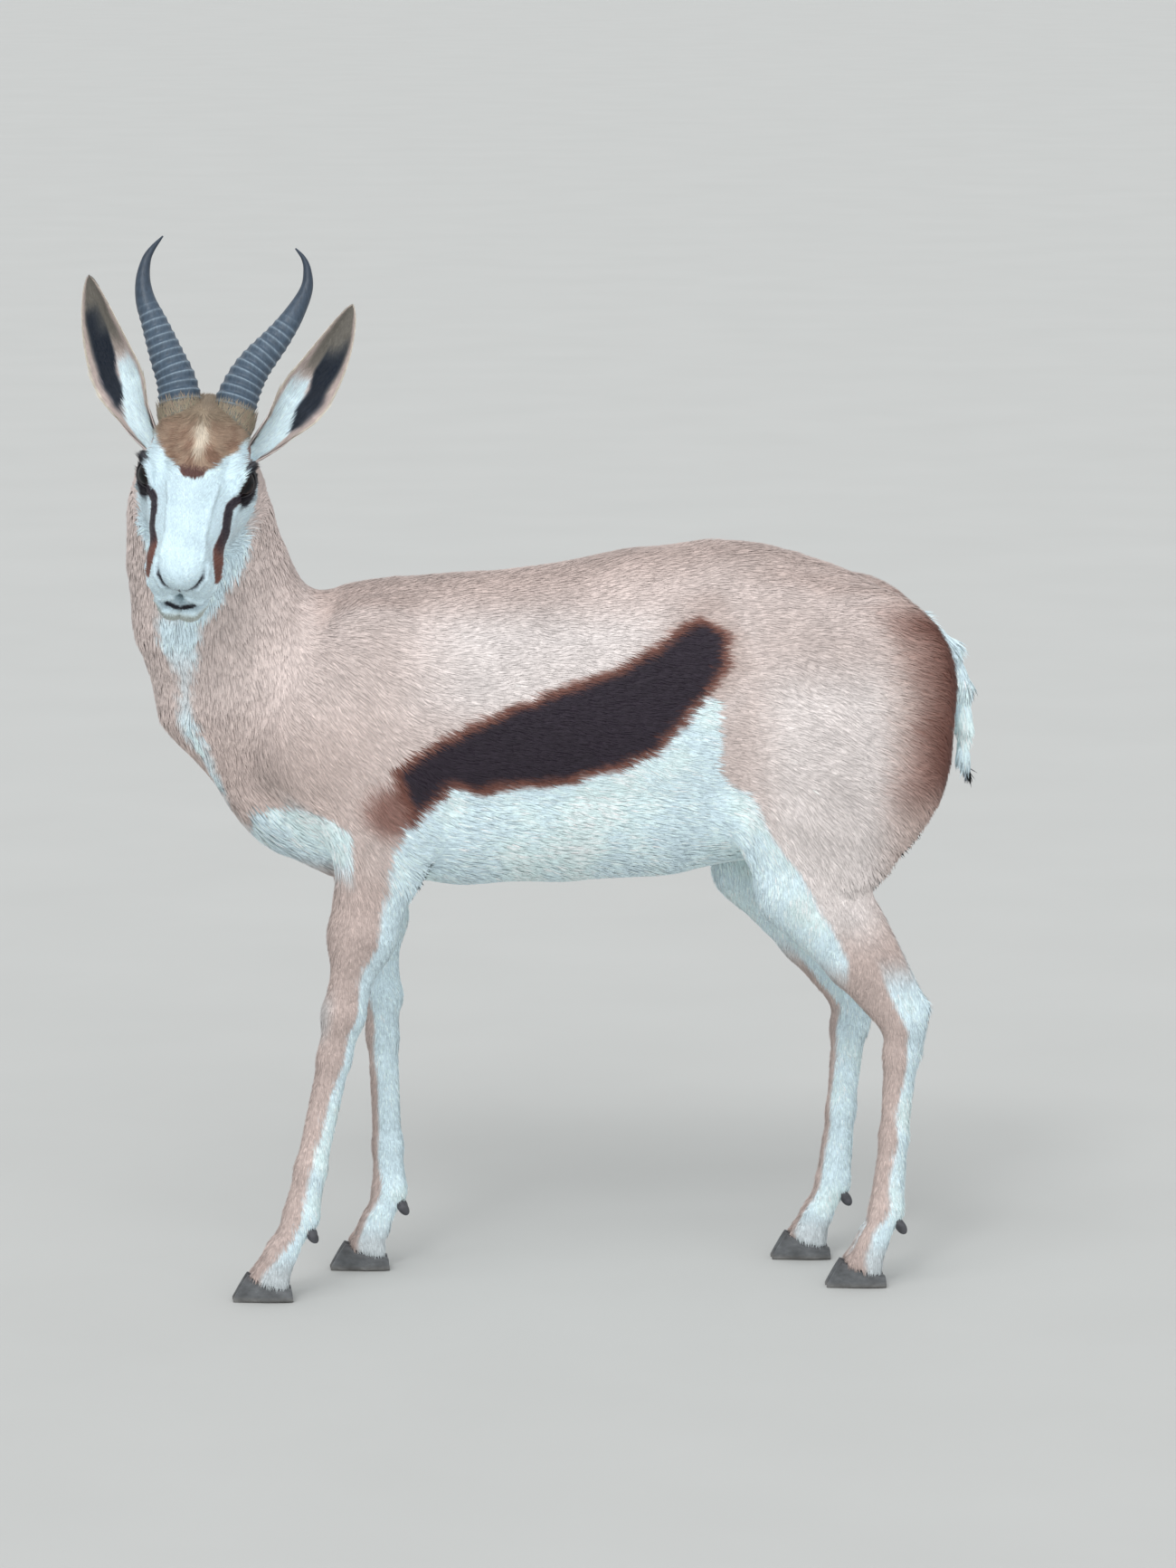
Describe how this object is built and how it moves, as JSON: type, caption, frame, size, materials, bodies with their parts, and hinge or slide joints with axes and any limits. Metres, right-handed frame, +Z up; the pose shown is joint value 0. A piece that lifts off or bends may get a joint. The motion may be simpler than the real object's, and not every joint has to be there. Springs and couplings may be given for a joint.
{
  "type": "springbok",
  "caption": "Life-size standing springbok with its head turned to the side, ringed hooked horns, upright ears, a dark flank stripe and cloven hooves.",
  "frame": {"origin": "on the floor, under the middle of the bounding box", "axes": "+X towards the tail, -Y towards the animal's left side, +Z up"},
  "size_m": [0.93, 0.345, 1.1034],
  "materials": {
    "coat_tan": "short dense fur, matt",
    "coat_white": "short dense fur, matt",
    "horn": "ringed horn, dull sheen",
    "hoof": "worn hoof, matt",
    "eye": "wet gloss"
  },
  "bodies": {
    "root": {"dewclaw_front_left_inner": "hoof", "dewclaw_front_left_outer": "hoof", "dewclaw_front_right_inner": "hoof", "dewclaw_front_right_outer": "hoof", "dewclaw_hind_left_inner": "hoof", "dewclaw_hind_left_outer": "hoof", "dewclaw_hind_right_inner": "hoof", "dewclaw_hind_right_outer": "hoof", "ear_left": "coat_tan", "ear_right": "coat_tan", "eye_left": "eye", "eye_right": "eye", "head": "coat_white", "hoof_front_left_inner": "hoof", "hoof_front_left_outer": "hoof", "hoof_front_right_inner": "hoof", "hoof_front_right_outer": "hoof", "hoof_hind_left_inner": "hoof", "hoof_hind_left_outer": "hoof", "hoof_hind_right_inner": "hoof", "hoof_hind_right_outer": "hoof", "horn_left": "horn", "horn_right": "horn", "leg_front_left": "coat_tan", "leg_front_right": "coat_tan", "leg_hind_left": "coat_tan", "leg_hind_right": "coat_tan", "neck": "coat_tan", "tail": "coat_white", "torso": "coat_tan"}
  },
  "joints": []
}
